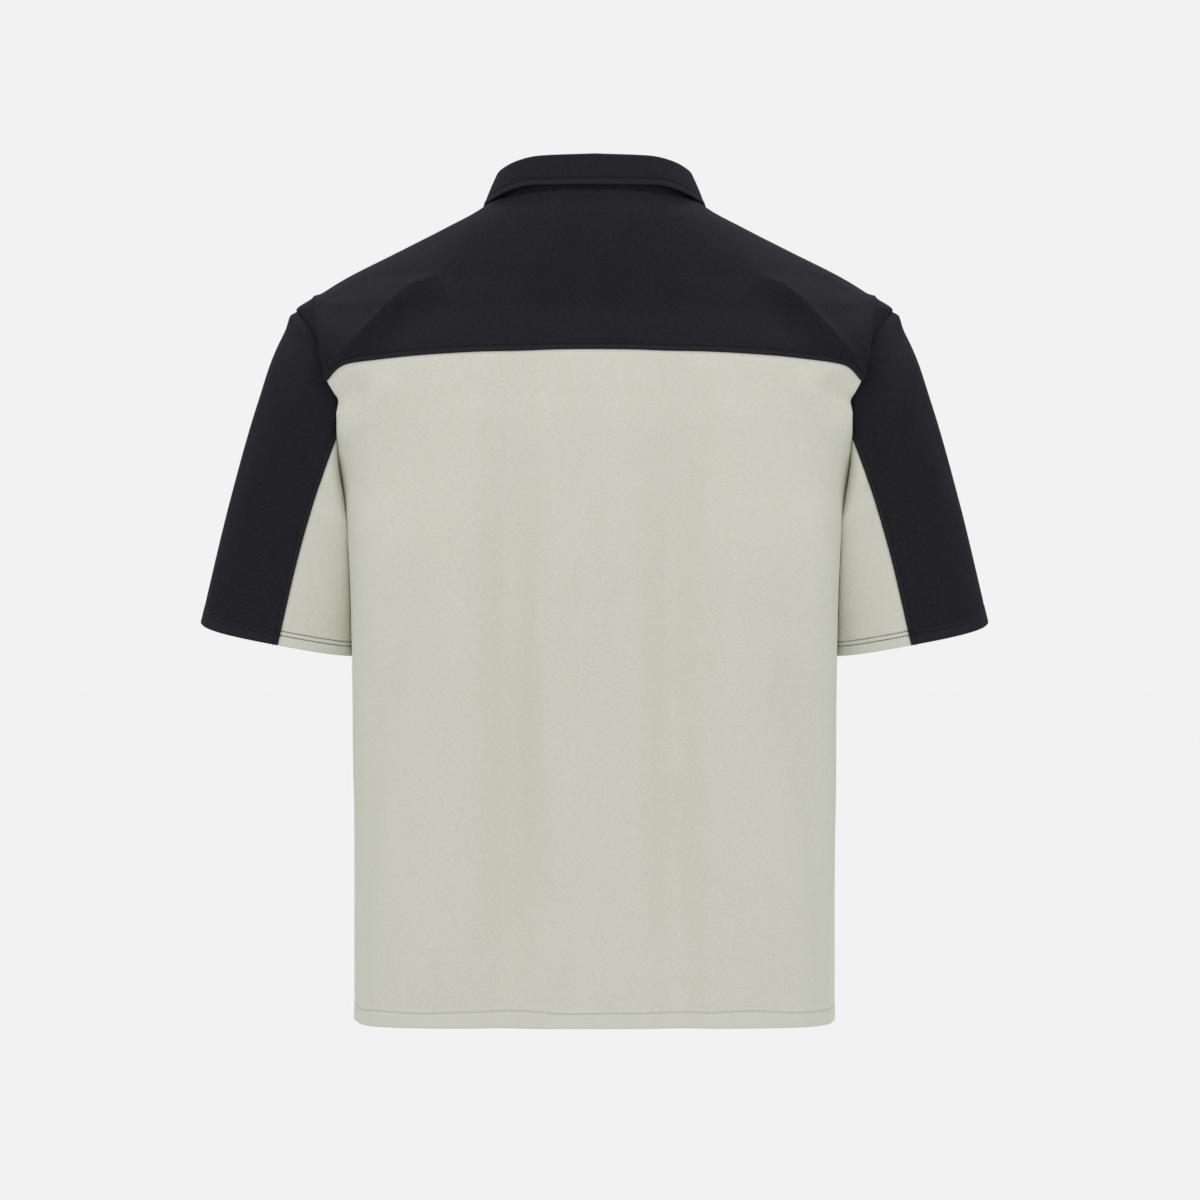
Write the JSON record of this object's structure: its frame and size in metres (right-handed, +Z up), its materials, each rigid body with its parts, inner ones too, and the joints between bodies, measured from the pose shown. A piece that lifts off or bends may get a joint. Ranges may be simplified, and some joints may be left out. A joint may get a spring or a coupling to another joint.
{
  "type": "polo shirt",
  "caption": "Boxy short-sleeved polo shirt with dark yokes and sleeves over a pale body, hollow and filled out as if worn.",
  "frame": {"origin": "middle of the neck, level with the high end of the shoulders, where the wearer carries it", "axes": "+Z up; the wearer faces +Y and the wearer's right is +X"},
  "size_m": [0.6938, 0.2393, 0.7565],
  "materials": {
    "dark_jersey": "matte fine knit, nearly black",
    "pale_jersey": "matte fine knit, warm off-white",
    "button_plastic": "satin black"
  },
  "bodies": {
    "root": {"back_yoke": "dark_jersey", "back_panel": "pale_jersey", "front_yoke_left": "dark_jersey", "front_yoke_right": "dark_jersey", "front_panel": "pale_jersey", "sleeve_upper_left": "dark_jersey", "sleeve_upper_right": "dark_jersey", "sleeve_under_left": "pale_jersey", "sleeve_under_right": "pale_jersey", "collar_stand": "dark_jersey", "collar_leaf": "dark_jersey", "placket_top": "dark_jersey", "placket_under": "dark_jersey", "button_1": "button_plastic", "button_2": "button_plastic", "button_3": "button_plastic"}
  },
  "joints": []
}
